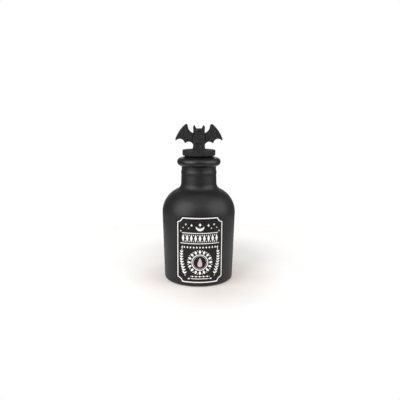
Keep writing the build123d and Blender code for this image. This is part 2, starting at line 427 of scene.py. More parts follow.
def turned(rings: np.ndarray) -> tuple[np.ndarray, list[np.ndarray]]:
    """Closes a stack of rings, from a point on the axis to another, into a solid.

    Args:
        rings: an array (rings, points round, 3). All points of the first ring are one point
            on the axis, and so are those of the last.

    Returns:
        The points, with one for each end, and the faces: the quads, then the end triangles.
    """
    count, segments = rings.shape[:2]
    inner = rings[1:-1].reshape(-1, 3)
    points = np.concatenate((inner, rings[0, :1], rings[-1, :1]))
    low = fan(len(inner), 0, segments)[:, (0, 2, 1)]
    high = fan(len(inner) + 1, len(inner) - segments, segments)
    return points, [bands(count - 2, segments), np.concatenate((low, high))]


def spun(profile: np.ndarray, segments: int) -> np.ndarray:
    """Carries a profile of (radius, height) round the axis.

    Each point (r, z) becomes the ring (r cos a, r sin a, z), for evenly spaced angles a.

    Args:
        profile: the profile, from the axis to the axis, with its outside on the right.
        segments: how many points a ring has.

    Returns:
        An array (profile points, segments, 3).
    """
    angle = np.arange(segments) * 2 * pi / segments
    radius, height = profile[:, :1], profile[:, 1:]
    return np.stack((radius * np.cos(angle), radius * np.sin(angle), height + 0 * angle), -1)


def slab(rows: int, across: int, closed: bool) -> np.ndarray:
    """Faces of a thin closed patch, whose points are its top grid and then its bottom grid.

    Args:
        rows: rows of the grid.
        across: points in each row.
        closed: whether the last row joins the first.

    Returns:
        The quads, facing outwards where rows run to the right and points in a row run up.
    """
    row = np.arange(rows if closed else rows - 1)
    top = np.arange(rows * across).reshape(rows, across)
    under = top + rows * across
    near, far = top[row], top[(row + 1) % rows]
    low, low_far = under[row], under[(row + 1) % rows]
    blocks = [
        (near[:, :-1], far[:, :-1], far[:, 1:], near[:, 1:]),
        (low[:, 1:], low_far[:, 1:], low_far[:, :-1], low[:, :-1]),
        (far[:, 0], near[:, 0], low[:, 0], low_far[:, 0]),
        (near[:, -1], far[:, -1], low_far[:, -1], low[:, -1]),
    ]
    if not closed:
        blocks += [
            (top[0, :-1], top[0, 1:], under[0, 1:], under[0, :-1]),
            (top[-1, 1:], top[-1, :-1], under[-1, :-1], under[-1, 1:]),
        ]
    return np.concatenate([np.stack(block, -1).reshape(-1, 4) for block in blocks])


# The bottle


@dataclass
class Bottle:
    """The blown bottle, and the wall that the label follows."""

    body_radius: float = 36.0
    base_draw: float = 2.0
    base_corner_radius: float = 2.8
    wall_height: float = 66.6
    shoulder_radius: float = 25.0
    wall_thickness: float = 3.0
    floor_thickness: float = 5.0
    floor_corner_radius: float = 5.0
    standing_ring_width: float = 7.0
    push_up_height: float = 1.8
    push_up_middle_shares: tuple[float, float] = (0.5, 0.75)
    bore_radius: float = 14.0
    neck_wall: float = 3.5
    neck_draw: float = 0.55
    neck_fillet_radius: float = 6.8
    neck_height: float = 25.0
    ring_drop: float = 14.1
    ring_width: float = 4.0
    ring_proud: float = 0.25
    lip_overhang: float = 4.45
    lip_roll_radius: float = 4.0
    mouth_round_radius: float = 3.0
    lip_points: int = 28
    lip_top_points: int = 3
    mouth_points: int = 10
    segments: int = 288

    def __post_init__(self) -> None:
        """Works out the places that the profile is drawn from."""
        self.taper = atan2(self.base_draw, self.wall_height - self.base_corner_radius)
        self.shoulder = (self.body_radius - self.shoulder_radius * cos(self.taper),
                         self.wall_height + self.shoulder_radius * sin(self.taper))
        self.neck_foot_radius = self.bore_radius + self.neck_wall
        self.neck_top_radius = self.neck_foot_radius - self.neck_draw
        self.neck_ring_radius = self.neck_foot_radius - self.neck_draw / 2
        self.neck_foot = self.fillet_centre(0, self.neck_foot_radius, self.neck_fillet_radius)[1]
        self.height = self.neck_foot + self.neck_height
        self.lip_radius = self.neck_top_radius + self.lip_overhang

    def fillet_centre(self, inset: float, upright: float, radius: float) -> tuple[float, float]:
        """The centre of the fillet between the shoulder arc, drawn in by inset, and an upright."""
        reach = upright + radius - self.shoulder[0]
        rise = sqrt((self.shoulder_radius - inset + radius) ** 2 - reach ** 2)
        return upright + radius, self.shoulder[1] + rise

    def wall_top(self, inset: float) -> tuple[float, float]:
        """Where the wall meets the shoulder arc, at a depth below the outer skin."""
        reach = self.shoulder_radius - inset
        return (self.shoulder[0] + reach * cos(self.taper),
                self.shoulder[1] - reach * sin(self.taper))

    def wall_line(self, height: np.ndarray, proud: float) -> np.ndarray:
        """Radius of a film on the wall, which narrows downwards by the tangent of its taper.

        The film is too stiff for the shoulder's double curve, so above the wall it goes on
        straight up, and at its top edge it stands about 0.2 mm off the glass.

        Args:
            height: heights above the table.
            proud: how far the surface stands off the wall.

        Returns:
            The radius at each height.
        """
        top = self.wall_top(-proud)
        return top[0] - (top[1] - height) * tan(self.taper)

    def upper_curve(self, inset: float, upright: float, radius: float) -> np.ndarray:
        """The shoulder arc and the fillet above it, from the wall to the neck.

        Args:
            inset: how far the shoulder is drawn in.
            upright: the neck's radius.
            radius: the fillet's radius.

        Returns:
            Points of radius and height.
        """
        centre = self.fillet_centre(inset, upright, radius)
        end = atan2(centre[1] - self.shoulder[1], centre[0] - self.shoulder[0])
        return chain(
            arc(self.shoulder, self.shoulder_radius - inset, -self.taper, end, 40),
            arc(centre, radius, end + pi, pi, 16),
        )

    def outer_profile(self) -> np.ndarray:
        """The profile from the middle of the base, up the outside, to the top of the mouth.

        The push-up is an arc through three points. The rolled lip is a circle that meets
        the neck below and turns level at its top.

        Returns:
            Points of radius and height.
        """
        corner_reach = self.body_radius - self.base_draw - self.base_corner_radius
        corner = arc((corner_reach, self.base_corner_radius), self.base_corner_radius,
                     -pi / 2, -self.taper, 12)
        ring_inner = corner_reach - self.standing_ring_width
        across, up = self.push_up_middle_shares
        ring_height, half_ring = self.height - self.ring_drop, self.ring_width / 2
        ring = arc_through((self.neck_ring_radius, ring_height - half_ring),
                           (self.neck_ring_radius + self.ring_proud, ring_height),
                           (self.neck_top_radius, ring_height + half_ring), 9)
        roll = self.lip_radius - self.lip_roll_radius
        drop = -np.arccos((self.neck_top_radius - roll) / self.lip_roll_radius)
        lip = arc((roll, self.height - self.lip_roll_radius), self.lip_roll_radius,
                  drop, pi / 2, self.lip_points)
        return chain(
            arc_through((0, self.push_up_height), (ring_inner * across, self.push_up_height * up),
                        (ring_inner, 0), 14),
            run((ring_inner, 0), (corner_reach, 0), 5),
            corner,
            run(corner[-1], self.wall_top(0), 40),
            self.upper_curve(0, self.neck_foot_radius, self.neck_fillet_radius),
            run((self.neck_foot_radius, self.neck_foot), ring[0], 8),
            ring,
            run(ring[-1], lip[0], 5),
            lip,
            run(lip[-1], (self.bore_radius + self.mouth_round_radius, self.height),
                self.lip_top_points),
        )

    def inner_profile(self) -> np.ndarray:
        """The profile from the top of the mouth, down the inside, to the middle of the floor.

        Returns:
            Points of radius and height.
        """
        mouth = arc((self.bore_radius + self.mouth_round_radius,
                     self.height - self.mouth_round_radius),
                    self.mouth_round_radius, pi / 2, pi, self.mouth_points)
        radius = self.neck_fillet_radius + self.wall_thickness
        inside = self.upper_curve(self.wall_thickness, self.bore_radius, radius)[::-1]
        top = self.wall_top(self.wall_thickness)
        low = self.floor_thickness + self.floor_corner_radius
        foot = top[0] - (top[1] - low) * tan(self.taper)
        corner = arc((foot - self.floor_corner_radius, low), self.floor_corner_radius,
                     0, -pi / 2, 8)
        return chain(
            mouth,
            run(mouth[-1], inside[0], 12),
            inside,
            run(top, corner[0], 16),
            corner,
            run(corner[-1], (0, self.floor_thickness), 8),
        )

    def build(self) -> bpy.types.Object:
        """Turns the whole profile about the axis, and dresses the outside and the inside.

        The lip's coat starts at the lip's first point, and the coat ends at the last point
        of the mouth's round. Runs share their end points, so each join takes one point off.

        Returns:
            The bottle.
        """
        outer = self.outer_profile()
        lip_start = len(outer) + 1 - self.lip_points - self.lip_top_points
        coat_end = len(outer) + self.mouth_points - 1
        points, faces = turned(spun(chain(outer, self.inner_profile()), self.segments))
        row = np.arange(len(faces[0])) // self.segments + 1
        side = np.select((row >= coat_end, row >= lip_start), (1, 2), 0)
        slots = np.concatenate((side, np.zeros(self.segments), np.ones(self.segments)))
        made = put_down("bottle_glass", points, faces,
                        [SATIN_COAT.make(), BARE_GLASS.make(), LIP_COAT.make()], slots=slots)
        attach(made, "bottle")
        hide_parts("glass_bottle")
        return made


# The label


# How far from its very tips, in radians of the cosine, a pointed shape's outline stops
BLUNT_ANGLE = 0.06
# Stars of the print: place across and up, and half width and half length. One that isn't in
# the middle stands on both sides.
STARS = ((0.0, 58.4, (1.7, 2.3)), (8.0, 57.9, (1.3, 1.9)), (13.6, 58.6, (1.0, 1.5)),
         (18.9, 51.9, (0.9, 1.3)))
# Dots of the sky, on both sides: place across and up
DOTS = ((10.9, 55.0), (16.4, 55.4))
DOT_RADIUS = 0.55


class Ink(Enum):
    """The inks of the label's print, by the name of the piece that each makes."""

    WHITE = "label_print"
    ROSE = "label_drop"


class Sides(Enum):
    """The sides of a tapered shape, by the power in its formula."""

    HOLLOW = 0.62
    STRAIGHT = 1.0
    FULL = 1.5
    ROUND = 2.0


@dataclass
class Stroke:
    """A printed shape: a centre line with a half width at each of its points.

    Attributes:
        spine: the centre line, in millimetres across and up the flat label.
        half: half of the width at each point.
        closed: whether the line closes on itself.
        across: points across the stroke.
    """

    spine: np.ndarray
    half: np.ndarray
    closed: bool = False
    across: int = 2

    def grid(self) -> np.ndarray:
        """Spreads the line to both sides.

        The point at share v of the width is spine + v * half * n, where n is the line's
        normal and v runs from -1 to 1.

        Returns:
            An array (points along, points across, 2), wound to face outwards.
        """
        side = (self.half[:, None] * normals(self.spine, self.closed))[:, None]
        return self.spine[:, None] + np.linspace(-1, 1, self.across)[None, :, None] * side


def rule(start: Point, stop: Point, width: float, spacing: float = 1.2) -> Stroke:
    """A straight rule with points about 1.2 mm apart, so that it can lie on the curved glass."""
    count = 2 + int(np.hypot(stop[0] - start[0], stop[1] - start[1]) / spacing)
    return Stroke(run(start, stop, count), np.full(count, width / 2))


def tapered(centre: Point, size: tuple[float, float], angle: float, sides: Sides,
            count: int = 9, across: int = 3) -> Stroke:
    """A shape that is pointed or round at both ends.

    Its half width at share t of its half length is size[0] * (1 - |t|^p)^(1 / p), where p
    is the power of its sides. The shares are minus the cosine of even angles, so that they
    crowd towards both ends, and they stop just short of -1 and 1, where the width is 0.

    Args:
        centre: its centre.
        size: its half width and half length.
        angle: how far its length leans from upright, in radians, to the right.
        sides: the shape of its sides.
        count: points along it.
        across: points across it.

    Returns:
        The stroke.
    """
    share = -np.cos(np.linspace(BLUNT_ANGLE, pi - BLUNT_ANGLE, count))
    half = size[0] * (1 - np.abs(share) ** sides.value) ** (1 / sides.value)
    heading = np.array((sin(angle), cos(angle)))
    return Stroke(np.array(centre) + share[:, None] * size[1] * heading, half, across=across)


def ring_stroke(centre: Point, radius: float, width: float, count: int) -> Stroke:
    """A circle drawn with a line of one width."""
    spine = arc(centre, radius, 0, 2 * pi, count + 1)[:-1]
    return Stroke(spine, np.full(count, width / 2), closed=True)


@dataclass(frozen=True)
class Leaf:
    """A leaf on a slightly bent midrib.

    Attributes:
        length: its length.
        width: its greatest width.
        bend: how far the midrib turns from end to end, in radians.
        power: how far up the leaf is widest; 1 would be the middle.
        ends: shares of the length between which it is drawn, so that its tips are blunt.
        points: points along it.
    """

    length: float
    width: float
    bend: float = 0.35
    power: float = 0.7
    ends: tuple[float, float] = (0.03, 0.97)
    points: int = 8

    def stroke(self, root: Point, angle: float) -> Stroke:
        """Draws the leaf from its root.

        The half width at share s of the length is width / 2 * sin(pi * s^power).

        Args:
            root: where it grows from.
            angle: how far it leans from upright, in radians, to the right.

        Returns:
            The stroke.
        """
        share = np.linspace(*self.ends, self.points)
        lean = angle + self.bend * (share - 0.5)
        reach = self.length * np.column_stack((share * np.sin(lean), share * np.cos(lean)))
        half = self.width / 2 * np.sin(pi * share ** self.power)
        return Stroke(np.array(root) + reach, half, across=3)


@dataclass
class Label:
    """The printed film round the front of the bottle, and its raised ink.

    Places of the print are measured across from the label's middle and up from its foot. A
    size of one of its shapes is its half width and half length.
    """

    bottle: Bottle
    glue: float = 0.05
    thickness: float = 0.2
    foot_gap: float = 0.4
    climb: float = 3.0
    width: float = 45.2
    scoop_radius: float = 4.6
    scoop_rows: int = 14
    plain_rows: int = 46
    columns: int = 97
    ink_height: float = 0.035
    ink_root: float = 0.05
    frame_inset: float = 1.75
    frame_width: float = 1.0
    moon_height: float = 57.6
    moon_radius: float = 3.9
    moon_tip_share: float = 0.05
    moon_half_widths: tuple[float, float] = (0.08, 1.15)
    moon_power: float = 0.8
    rule_width: float = 0.7
    band_rules: tuple[tuple[float, float], ...] = ((17.6, 50.3), (19.2, 40.2))
    band_height: float = 45.25
    band_pitch: float = 4.1
    band_lift: float = 3.0
    lozenge_size: tuple[float, float] = (1.35, 4.0)
    filler_size: tuple[float, float] = (0.5, 0.9)
    row_height: float = 36.4
    row_pitch: float = 3.0
    row_size: tuple[float, float] = (0.85, 1.15)
    medallion_height: float = 21.6
    medallion_radius: float = 7.6
    medallion_width: float = 0.8
    petals: int = 16
    petal_reach: float = 10.4
    petal_size: tuple[float, float] = (1.1, 1.9)
    point_reach: float = 11.6
    point_size: tuple[float, float] = (0.4, 0.9)
    dot_reach: float = 6.3
    dot_size: tuple[float, float] = (0.3, 0.3)
    drop_size: tuple[float, float] = (3.1, 4.6)
    drop_shares: tuple[float, float] = (0.62, 0.38)
    drop_end_share: float = 0.97
    stem_across: tuple[float, float, float] = (14.2, 3.4, 1.2)
    stem_bow_share: float = 0.8
    stem_low: float = 7.6
    stem_tall: float = 27.4
    stem_width: float = 0.48
    leaf_length: float = 3.1
    leaf_shrink: float = 0.1
    leaf_width: float = 1.35
    leaf_turn: float = 0.85
    tip_leaf: tuple[float, float] = (2.6, 1.3)
    foot_height: float = 7.6
    foot_pitch: float = 3.6
    foot_size: tuple[float, float] = (1.0, 0.9)
    foot_dot_size: tuple[float, float] = (0.34, 0.34)
    foot_rule_height: float = 5.3
    foot_rule_half: float = 8.6
    foot_rule_width: float = 0.6
    foot_point_across: float = 10.6
    foot_point_size: tuple[float, float] = (0.8, 1.3)

    def __post_init__(self) -> None:
        """Works out where the label begins and ends."""
        self.low = self.bottle.base_corner_radius + self.foot_gap
        self.high = self.bottle.wall_height + self.climb
        self.tall = self.high - self.low
        self.face = self.glue + self.thickness

    def rows(self) -> tuple[np.ndarray, np.ndarray]:
        """Heights of the film's rows, and the half width of each, seen from the front.

        In the hollow corners a row at depth t from the edge has the half width of the label
        less the half chord of the scoop there, sqrt(scoop^2 - t^2). Rows are spaced by even
        angles of the scoop, and evenly between the corners.

        Returns:
            The heights above the table, and the half widths.
        """
        turn = np.linspace(0, pi / 2, self.scoop_rows)
        depth = self.scoop_radius * np.sin(turn)
        corner = self.width / 2 - self.scoop_radius * np.cos(turn)
        plain = np.linspace(self.low + self.scoop_radius, self.high - self.scoop_radius,
                            self.plain_rows + 2)[1:-1]
        height = np.concatenate((self.low + depth, plain, (self.high - depth)[::-1]))
        half = np.concatenate((corner, np.full(len(plain), self.width / 2), corner[::-1]))
        return height, half

    def film(self) -> bpy.types.Object:
        """Wraps the film: a thin closed shell whose rows run round the glass.

        The point at share u of a row is at angle u * asin(half width / radius) from the
        front, at the wall's radius plus the film's own standing off.

        Returns:
            The film.
        """
        height, half = self.rows()
        share = np.linspace(-1, 1, self.columns)[:, None]
        shells = []
        for proud in (self.face, self.glue):
            angle = share * np.arcsin(half / self.bottle.wall_line(height, self.face))
            shells.append(self.on_glass(self.bottle.wall_line(height, proud), angle, height))
        faces = slab(self.columns, len(height), closed=False)
        made = put_down("label_film", np.concatenate(shells), [faces], [LABEL_FILM.make()])
        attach(made, "bottle")
        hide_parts("front_label")
        return made

    def wrap(self, flat: np.ndarray, proud: float) -> np.ndarray:
        """Lays flat points on the film, where a distance across is an arc at the film's face.

        Args:
            flat: points across and up the label, in its last axis.
            proud: how far they stand off the film.

        Returns:
            The points in space, one row each.
        """
        height = self.low + flat[..., 1]
        radius = self.bottle.wall_line(height, self.face)
        return self.on_glass(radius + proud, flat[..., 0] / radius, height)

    @staticmethod
    def on_glass(radius: np.ndarray, angle: np.ndarray, height: np.ndarray) -> np.ndarray:
        """Points (r sin a, -r cos a, height), at angles to the right of the front, in one list."""
        return np.stack((radius * np.sin(angle), -radius * np.cos(angle),
                         height + 0 * angle), -1).reshape(-1, 3)

    def frame_line(self) -> Stroke:
        """A line that follows the label's edge at an inset, with the same hollow corners.

        Each corner is an arc about the label's square corner, of the scoop's radius plus
        the inset, between the points where it meets the inset sides.

        Returns:
            The closed line.
        """
        inset = self.frame_inset
        radius = self.scoop_radius + inset
        half, tall = self.width / 2, self.tall
        meet = asin(inset / radius)
        low = arc((half, 0), radius, pi - meet, pi / 2 + meet, 12)
        high = arc((half, tall), radius, 1.5 * pi - meet, pi + meet, 12)
        whole = mirrored(chain(run((0, inset), low[0], 14), low, run(low[-1], high[0], 44), high,
                               run(high[-1], (0, tall - inset), 14)))
        radius_here = self.bottle.wall_line(self.low + whole[:, 1], self.face)
        flat = np.column_stack((radius_here * np.arcsin(whole[:, 0] / radius_here), whole[:, 1]))
        return Stroke(flat, np.full(len(flat), self.frame_width / 2), closed=True)

    def drawing(self) -> dict[Ink, list[Stroke]]:
        """The whole print: a frame, a moon and stars, bands, a medallion and sprigs.

        The drop in the medallion's middle has the half width
        w * sqrt(1 - s^2) * (mean - lean * s) at share s of its half length.

        Returns:
            The strokes of each ink.
        """
        white = [self.frame_line()]
        white += self.sky() + self.band() + self.medallion() + self.sprigs() + self.foot()
        share = np.linspace(-self.drop_end_share, self.drop_end_share, 15)
        mean, lean = self.drop_shares
        half = self.drop_size[0] * np.sqrt(1 - share ** 2) * (mean - lean * share)
        spine = np.column_stack((0 * share, self.medallion_height + self.drop_size[1] * share))
        return {Ink.WHITE: white, Ink.ROSE: [Stroke(spine, half, across=5)]}

    def sky(self) -> list[Stroke]:
        """A crescent moon on its back with a star over it, and stars and dots to both sides.

        The moon's half width is its tip's plus a cosine of the way along, to a power.

        Returns:
            The strokes.
        """
        spine = arc((0, self.moon_height), self.moon_radius, -self.moon_tip_share * pi,
                    (self.moon_tip_share - 1) * pi, 25)
        swell = np.cos(np.linspace(-pi / 2, pi / 2, len(spine))) ** self.moon_power
        made = [Stroke(spine, self.moon_half_widths[0] + self.moon_half_widths[1] * swell,
                       across=3)]
        made += [tapered((side * across, up), size, 0, Sides.HOLLOW, 13)
                 for across, up, size in STARS for side in ((-1, 1) if across else (1,))]
        made += [tapered((side * across, up), (DOT_RADIUS, DOT_RADIUS), 0, Sides.ROUND)
                 for across, up in DOTS for side in (-1, 1)]
        return made

    def band(self) -> list[Stroke]:
        """Tall lozenges between two rules, with small ones between their points, and a row below.

        Returns:
            The strokes.
        """
        made = [rule((-half, height), (half, height), self.rule_width)
                for half, height in self.band_rules]
        pitch, middle = self.band_pitch, self.band_height
        made += [tapered((pitch * k, middle), self.lozenge_size, 0, Sides.STRAIGHT)
                 for k in range(-4, 5)]
        made += [tapered((pitch * (k + 0.5), middle + lift), self.filler_size, 0, Sides.STRAIGHT)
                 for k in range(-4, 4) for lift in (-self.band_lift, self.band_lift)]
        made += [tapered((self.row_pitch * k, self.row_height), self.row_size, 0,
                         Sides.STRAIGHT, 7) for k in range(-5, 6)]
        return made

    def medallion(self) -> list[Stroke]:
        """A ring with broad petals outside, a small point between each two, and dots inside.

        Returns:
            The strokes.
        """
        centre = np.array((0, self.medallion_height))
        made = [ring_stroke(centre, self.medallion_radius, self.medallion_width, 72)]
        for k in range(2 * self.petals):
            turn = pi * k / self.petals
            heading = np.array((sin(turn), cos(turn)))
            if k % 2:
                made.append(tapered(centre + self.point_reach * heading, self.point_size, turn,
                                    Sides.STRAIGHT, 7))
            else:
                made.append(tapered(centre + self.petal_reach * heading, self.petal_size, turn,
                                    Sides.FULL, 11))
            made.append(tapered(centre + self.dot_reach * heading, self.dot_size, 0,
                                Sides.ROUND, 7, 2))
        return made

    def sprigs(self) -> list[Stroke]:
        """A leafy stem up each side, bowed outwards, with leaves in pairs and one at its tip.

        The stem's place across, at share s of its height, is a start plus a bow times
        sin(pi * s * 0.8) plus a lean times s.

        Returns:
            The strokes.
        """
        made = []
        share = np.linspace(0, 1, 22)
        start, bow, lean = self.stem_across
        across = start + bow * np.sin(pi * share * self.stem_bow_share) + lean * share
        for side in (-1, 1):
            stem = np.column_stack((side * across, self.stem_low + self.stem_tall * share))
            made.append(Stroke(stem, np.full(len(share), self.stem_width / 2)))
            for k, root in enumerate(stem[2:20:2]):
                pair = Leaf(self.leaf_length - self.leaf_shrink * k, self.leaf_width)
                made += [pair.stroke(root, turn) for turn in (self.leaf_turn, -self.leaf_turn)]
            made.append(Leaf(*self.tip_leaf).stroke(stem[-1], 0))
        return made

    def foot(self) -> list[Stroke]:
        """Two rows under the medallion: lozenges with dots, and a rule with pointed ends.

        Returns:
            The strokes.
        """
        pitch, low = self.foot_pitch, self.foot_rule_height
        made = [tapered((pitch * k, self.foot_height), self.foot_size, 0, Sides.STRAIGHT, 7)
                for k in range(-2, 3)]
        made += [tapered((pitch * (k + 0.5), self.foot_height), self.foot_dot_size, 0,
                         Sides.ROUND, 7, 2) for k in range(-3, 3)]
        made.append(rule((-self.foot_rule_half, low), (self.foot_rule_half, low),
                         self.foot_rule_width))
        made += [tapered((side * self.foot_point_across, low), self.foot_point_size, pi / 2,
                         Sides.STRAIGHT, 7) for side in (-1, 1)]
        return made

    def printed(self, ink: Ink, strokes: list[Stroke], finish: Finish) -> bpy.types.Object:
        """Lays the strokes of one ink on the film as thin closed patches.

        Args:
            ink: the ink, which names the piece.
            strokes: its strokes.
            finish: its finish.

        Returns:
            The print.
        """
        points, faces, start = [], [], 0
        for stroke in strokes:
            flat = stroke.grid()
            rows, across = flat.shape[:2]
            points += [self.wrap(flat, self.ink_height), self.wrap(flat, -self.ink_root)]
            faces.append(slab(rows, across, stroke.closed) + start)
            start += 2 * rows * across
        made = put_down(ink.value, np.concatenate(points), faces, [finish.make()])
        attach(made, "bottle")
        return made

    def build(self) -> list[bpy.types.Object]:
        """Makes the film and the print of both inks."""
        finishes = {Ink.WHITE: WHITE_INK, Ink.ROSE: ROSE_INK}
        return [self.film(), *[self.printed(ink, strokes, finishes[ink])
                               for ink, strokes in self.drawing().items()]]


# The stopper's sleeve and cap


@dataclass
class Stopper:
    """The soft sleeve, and the cast cap with the spigot that the sleeve grips."""

    bottle: Bottle
    plug_depth: float = 18.5
    sleeve_gap: float = 1.5
    sleeve_wall: float = 3.75
    sleeve_floor: float = 2.0
    sleeve_lead: float = 1.3
    seat_fin_reach: float = 1.0
    seat_fin_edge: float = 1.3
    seat_fin_under: float = 1.0
    seat_fin_neck: float = 0.3
    fin_count: int = 3
    first_fin_drop: float = 5.6
    last_fin_rise: float = 4.1
    fin_root: float = 2.2
    fin_tip: float = 0.9
    fin_clearance: float = 0.05
    spigot_clearance: float = 0.05
    cap_overhang: float = 2.1
    cap_thickness: float = 5.5
    cap_gap: float = 1.8
    cap_low_round: float = 1.4
    cap_top_round: float = 0.35
    bead_proud: float = 0.7
    bead_width: float = 2.6
    bead_drop: float = 10.0
    tenon_width: float = 8.0
    tenon_thickness: float = 3.0
    tenon_depth: float = 3.6
    tenon_clearance: float = 0.05
    slot_collar_share: float = 0.75
    slot_floor_share: float = 0.5
    segments: int = 256

    def __post_init__(self) -> None:
        """Builds the stopper's places up from the bore and the top of the lip."""
        self.sleeve_radius = self.bottle.bore_radius - self.sleeve_gap
        self.sleeve_low = self.bottle.height - self.plug_depth
        self.spigot_radius = self.sleeve_radius - self.sleeve_wall - self.spigot_clearance
        self.spigot_low = self.sleeve_low + self.sleeve_floor
        self.cap_radius = self.bottle.bore_radius + self.cap_overhang
        self.cap_low = self.bottle.height + self.cap_gap
        self.cap_high = self.cap_low + self.cap_thickness
        self.bead_height = self.cap_low - self.bead_drop

    def spigot_side(self, gap: float) -> np.ndarray:
        """The side of the spigot and its end, from the cap to the axis.

        Args:
            gap: how far the surface is grown outwards.

        Returns:
            Points of radius and height.
        """
        side, half = self.spigot_radius + gap, self.bead_width / 2 + gap
        bead = arc_through((side, self.bead_height + half),
                           (side + self.bead_proud, self.bead_height),
                           (side, self.bead_height - half), 9)
        end = self.spigot_low - gap
        return chain(run((side, self.cap_low), bead[0], 8), bead,
                     run(bead[-1], (side, end), 6), run((side, end), (0, end), 6))

    def fin(self, height: float) -> np.ndarray:
        """A fin of the sleeve, with a round rim, from below its root to above it.

        The rim is half a circle of the fin's tip thickness, and straight flanks join it to
        the root.

        Args:
            height: the height of its middle.

        Returns:
            Points of radius and height.
        """
        reach = self.bottle.bore_radius - self.fin_clearance - self.fin_tip / 2
        rim = arc((reach, height), self.fin_tip / 2, -pi / 2, pi / 2, 9)
        return chain(run((self.sleeve_radius, height - self.fin_root / 2), rim[0], 4), rim,
                     run(rim[-1], (self.sleeve_radius, height + self.fin_root / 2), 4))

    def sleeve_profile(self) -> np.ndarray:
        """The sleeve from the middle of its end, up the outside, and down the socket.

        The top fin rests a clearance off the mouth's round: its height follows from the
        circle of the round, grown by that clearance.

        Returns:
            Points of radius and height.
        """
        side, low = self.sleeve_radius, self.sleeve_low
        flare = self.bottle.mouth_round_radius
        seat = self.bottle.bore_radius + self.seat_fin_reach
        across = self.bottle.bore_radius + flare - seat
        rise = sqrt((flare + self.fin_clearance) ** 2 - across ** 2)
        seat_low = self.bottle.height - flare + rise
        pitch = (self.plug_depth - self.first_fin_drop - self.last_fin_rise) / (self.fin_count - 1)
        fins = [self.fin(self.bottle.height - self.first_fin_drop - k * pitch)
                for k in reversed(range(self.fin_count))]
        edge = self.seat_fin_edge / 2
        rim = arc((seat - edge, seat_low + edge), edge, -pi / 2, pi / 2, 7)
        return chain(
            run((0, low), (side - self.sleeve_lead, low), 6),
            run((side - self.sleeve_lead, low), (side, low + self.sleeve_lead), 4),
            *fins,
            run((side, seat_low - self.seat_fin_under), rim[0], 5),
            rim,
            run(rim[-1], (side, self.cap_low - self.seat_fin_neck), 4),
            run((side, self.cap_low), (self.spigot_radius + self.spigot_clearance, self.cap_low), 3),
            self.spigot_side(self.spigot_clearance),
        )

    def cap_profile(self) -> np.ndarray:
        """The cap from the end of the spigot, out under the disc and over its top to the slot.

        Returns:
            Points of radius and height.
        """
        low = arc((self.cap_radius - self.cap_low_round, self.cap_low + self.cap_low_round),
                  self.cap_low_round, -pi / 2, 0, 10)
        high = arc((self.cap_radius - self.cap_top_round, self.cap_high - self.cap_top_round),
                   self.cap_top_round, 0, pi / 2, 7)
        return chain(
            self.spigot_side(0)[::-1],
            run((self.spigot_radius, self.cap_low), low[0], 5), low,
            run(low[-1], high[0], 6), high,
            run(high[-1], (self.tenon_width * self.slot_collar_share, self.cap_high), 10),
        )

    def slot_rings(self) -> np.ndarray:
        """Rings that close the top of the cap round the tenon's slot.

        A ring of the slot is the rectangle's edge in each direction: the direction divided
        by the larger of |x| / half length and |y| / half width. The points nearest to the
        corners are moved onto them.

        Returns:
            An array (rings, points round, 3): the slot's rim, its floor's edge, a smaller
            ring on the floor, and the floor's middle.
        """
        half = np.array((self.tenon_width, self.tenon_thickness)) / 2 + self.tenon_clearance
        turn = np.arange(self.segments) * 2 * pi / self.segments
        heading = np.column_stack((np.cos(turn), np.sin(turn)))
        edge = heading / np.max(np.abs(heading) / half, axis=1, keepdims=True)
        corners = half * np.array([(1, 1), (-1, 1), (-1, -1), (1, -1)])
        apart = np.linalg.norm(edge[:, None] - corners, axis=2)
        edge[np.argmin(apart, axis=0)] = corners
        floor = self.cap_high - self.tenon_depth - self.tenon_clearance
        return np.stack([np.column_stack((edge * share, np.full(self.segments, height)))
                         for share, height in ((1, self.cap_high), (1, floor),
                                               (self.slot_floor_share, floor), (0, floor))])

    def build(self) -> list[bpy.types.Object]:
        """Turns both pieces, and leaves the slot for the bat's tenon in the cap.

        Returns:
            The sleeve and the cap.
        """
        points, faces = turned(spun(self.sleeve_profile(), self.segments))
        sleeve = put_down("stopper_sleeve", points, faces, [SLEEVE_RUBBER.make()])
        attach(sleeve, "sleeve")
        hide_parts("plug_sleeve")
        rings = np.concatenate((spun(self.cap_profile(), self.segments), self.slot_rings()))
        points, faces = turned(rings)
        cap = put_down("cap_disc", points, faces, [CAST_RESIN.make()])
        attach(cap, "stopper")
        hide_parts("stopper_cap")
        return [sleeve, cap]


# The bat


